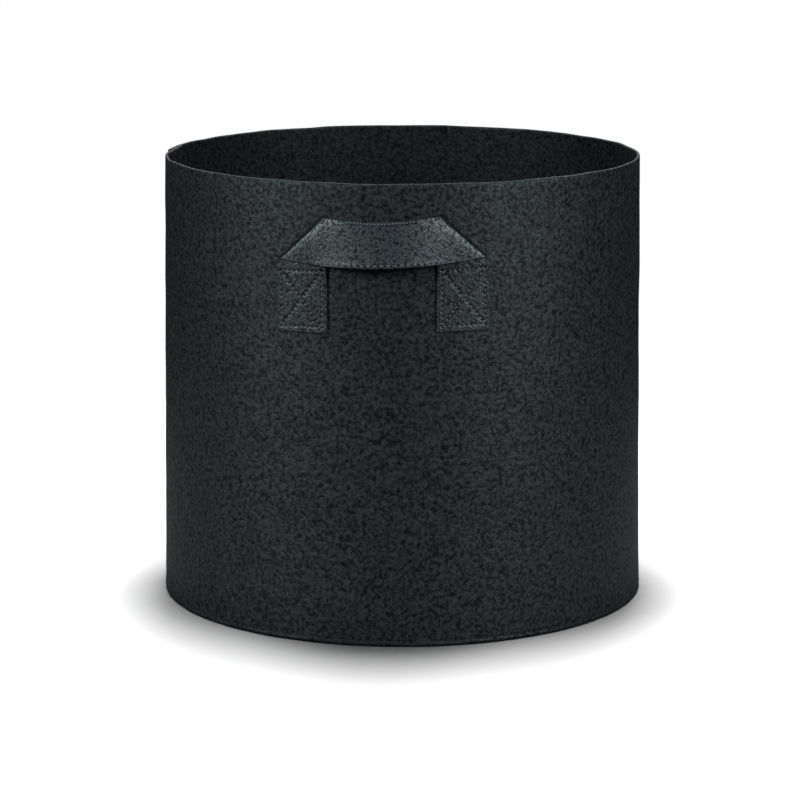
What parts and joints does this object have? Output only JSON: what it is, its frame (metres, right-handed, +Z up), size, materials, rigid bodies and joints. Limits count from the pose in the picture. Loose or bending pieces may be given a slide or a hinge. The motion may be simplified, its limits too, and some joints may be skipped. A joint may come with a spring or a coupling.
{
  "type": "fabric grow bag",
  "caption": "Round open-topped felt plant pot with a lap-seamed side, a sewn-in felt base and two folded webbing carrying handles stitched to its wall.",
  "frame": {"origin": "middle of the base's underside, on the surface that the bag stands on", "axes": "+Z up through the open mouth; the front handle faces -Y and the rear handle +Y; the side seam is at the left, 6 degrees behind -X"},
  "size_m": [0.306, 0.3442, 0.277],
  "materials": {
    "felt": "matte needle-punched felt",
    "webbing": "woven polypropylene webbing",
    "thread": "twisted polyester sewing thread"
  },
  "bodies": {
    "bag": {"base_disc": "felt", "base_seam_bobbin_thread": "thread", "base_seam_needle_thread": "thread", "front_left_box_bobbin_thread": "thread", "front_left_box_needle_thread": "thread", "front_left_tab": "webbing", "front_right_box_bobbin_thread": "thread", "front_right_box_needle_thread": "thread", "front_right_tab": "webbing", "rear_left_box_bobbin_thread": "thread", "rear_left_box_needle_thread": "thread", "rear_left_tab": "webbing", "rear_right_box_bobbin_thread": "thread", "rear_right_box_needle_thread": "thread", "rear_right_tab": "webbing", "side_seam_front_bobbin_thread": "thread", "side_seam_front_needle_thread": "thread", "side_seam_rear_bobbin_thread": "thread", "side_seam_rear_needle_thread": "thread", "side_wall": "felt"},
    "front_handle": {"front_grip": "webbing", "front_grip_backing": "webbing", "front_grip_lower_bobbin_thread": "thread", "front_grip_lower_needle_thread": "thread", "front_grip_upper_bobbin_thread": "thread", "front_grip_upper_needle_thread": "thread"},
    "rear_handle": {"rear_grip": "webbing", "rear_grip_backing": "webbing", "rear_grip_lower_bobbin_thread": "thread", "rear_grip_lower_needle_thread": "thread", "rear_grip_upper_bobbin_thread": "thread", "rear_grip_upper_needle_thread": "thread"}
  },
  "joints": [
    {"name": "front_handle_swing", "type": "hinge", "parent": "bag", "child": "front_handle", "pos_m": [0, -0.1443, 0.2298], "axis": [0.9997, 0, 0.023], "range_deg": [0, 76]},
    {"name": "rear_handle_swing", "type": "hinge", "parent": "bag", "child": "rear_handle", "pos_m": [0, 0.1443, 0.2298], "axis": [-0.9997, 0, 0.023], "range_deg": [0, 76]}
  ]
}
